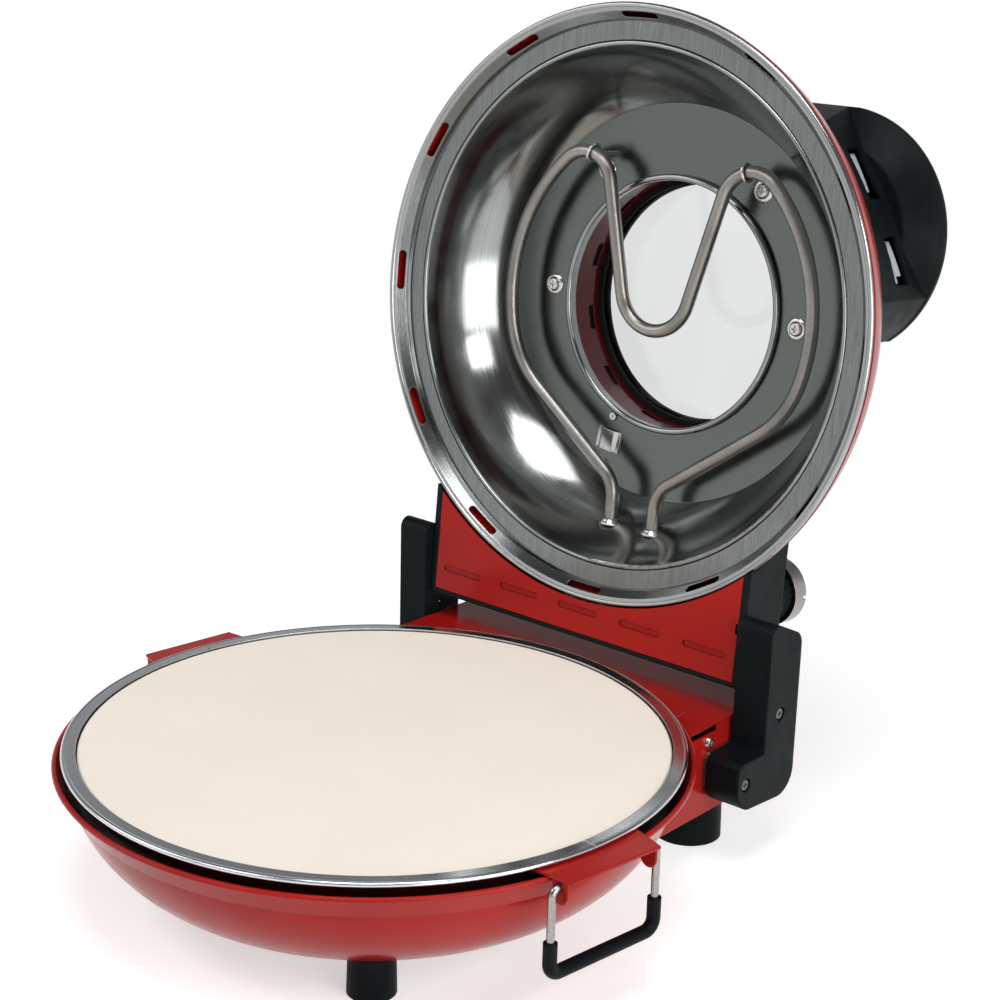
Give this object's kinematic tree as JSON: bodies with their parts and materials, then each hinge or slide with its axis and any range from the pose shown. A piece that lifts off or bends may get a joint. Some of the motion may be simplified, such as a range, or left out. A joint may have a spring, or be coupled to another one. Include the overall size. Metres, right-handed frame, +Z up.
{
  "type": "electric pizza maker",
  "caption": "Round countertop pizza oven with a stone plate in a red bowl base, side bails and a hinged domed lid with a window, shown open.",
  "frame": {"origin": "on the table plane, under the middle of the bounding box of the open cooker", "axes": "+Z up, -Y towards the user, +X to the right as the user sees it; the lid hinges about X at the back"},
  "size_m": [0.3614, 0.4834, 0.4555],
  "materials": {
    "red_enamel": "semi-gloss enamel",
    "dark_red_enamel": "gloss enamel",
    "black_plastic": "fine satin grain",
    "foot_plastic": "satin",
    "cordierite_stone": "matt, fine sandy grain",
    "bright_trim": "bright rolled steel",
    "reflector_steel": "satin, spun",
    "element_steel": "satin, slightly heat tinted",
    "plated_steel": "zinc plated",
    "screw_steel": "bright plated",
    "window_glass": "clear toughened glass",
    "gasket_rubber": "matt silicone",
    "wire_insulation": "braided sleeve",
    "white_ceramic": "unglazed"
  },
  "bodies": {
    "base": {"base_bowl": "red_enamel", "bottom_cover": "plated_steel", "bowl_liner": "reflector_steel", "stone_tray": "plated_steel", "stone_ring_front": "bright_trim", "stone_ring_rear": "bright_trim", "pizza_stone": "cordierite_stone", "bail_bracket_left": "red_enamel", "bail_bracket_right": "red_enamel", "lower_element": "element_steel", "lower_element_clips": "plated_steel", "rear_housing": "red_enamel", "rear_shelf": "red_enamel", "housing_floor_plate": "plated_steel", "front_feet": "foot_plastic", "rear_feet": "foot_plastic", "foot_screws": "screw_steel", "hinge_cover_left": "black_plastic", "hinge_cover_right": "black_plastic", "hinge_bracket_left": "plated_steel", "hinge_bracket_right": "plated_steel", "hinge_pins": "screw_steel", "cover_screws": "screw_steel", "housing_screws": "screw_steel", "terminal_block": "white_ceramic", "base_leads": "wire_insulation", "cord_gland": "black_plastic"},
    "lid": {"lid_dome": "red_enamel", "lid_rim": "bright_trim", "lid_reflector": "reflector_steel", "window_neck": "dark_red_enamel", "window_ring": "bright_trim", "window_glass": "window_glass", "glass_gasket": "gasket_rubber", "lid_handle": "black_plastic", "upper_element": "element_steel", "element_clips": "plated_steel", "plate_screws": "screw_steel", "sensor_clip": "plated_steel", "sensor_screws": "screw_steel", "thermal_cutout": "black_plastic", "lid_panel": "red_enamel", "lid_hinge_box": "black_plastic", "lid_terminal_block": "white_ceramic", "lid_leads": "wire_insulation", "thermostat": "white_ceramic"},
    "knob": {"thermostat_shaft": "plated_steel", "knob_body": "black_plastic", "knob_ring": "bright_trim"},
    "bail_left": {"bail_wire_left": "bright_trim", "bail_grip_left": "black_plastic"},
    "bail_right": {"bail_wire_right": "bright_trim", "bail_grip_right": "black_plastic"}
  },
  "joints": [
    {"name": "lid_hinge", "type": "hinge", "parent": "base", "child": "lid", "pos_m": [0, 0.10899, 0.1035], "axis": [1, 0, 0], "range_deg": [0, 95.2]},
    {"name": "thermostat_knob", "type": "hinge", "parent": "lid", "child": "knob", "pos_m": [0.094, 0.14631, 0.13294], "axis": [0, -0.9959, 0.0906], "range_deg": [0, 270]},
    {"name": "bail_right_hinge", "type": "hinge", "parent": "base", "child": "bail_right", "pos_m": [0.16961, -0.09544, 0.078], "axis": [-0.1271, -0.9919, 0], "range_deg": [-25, 165]},
    {"name": "bail_left_hinge", "type": "hinge", "parent": "base", "child": "bail_left", "pos_m": [-0.16961, -0.05198, 0.078], "axis": [0.1271, 0.9919, 0], "range_deg": [-25, 165]}
  ]
}
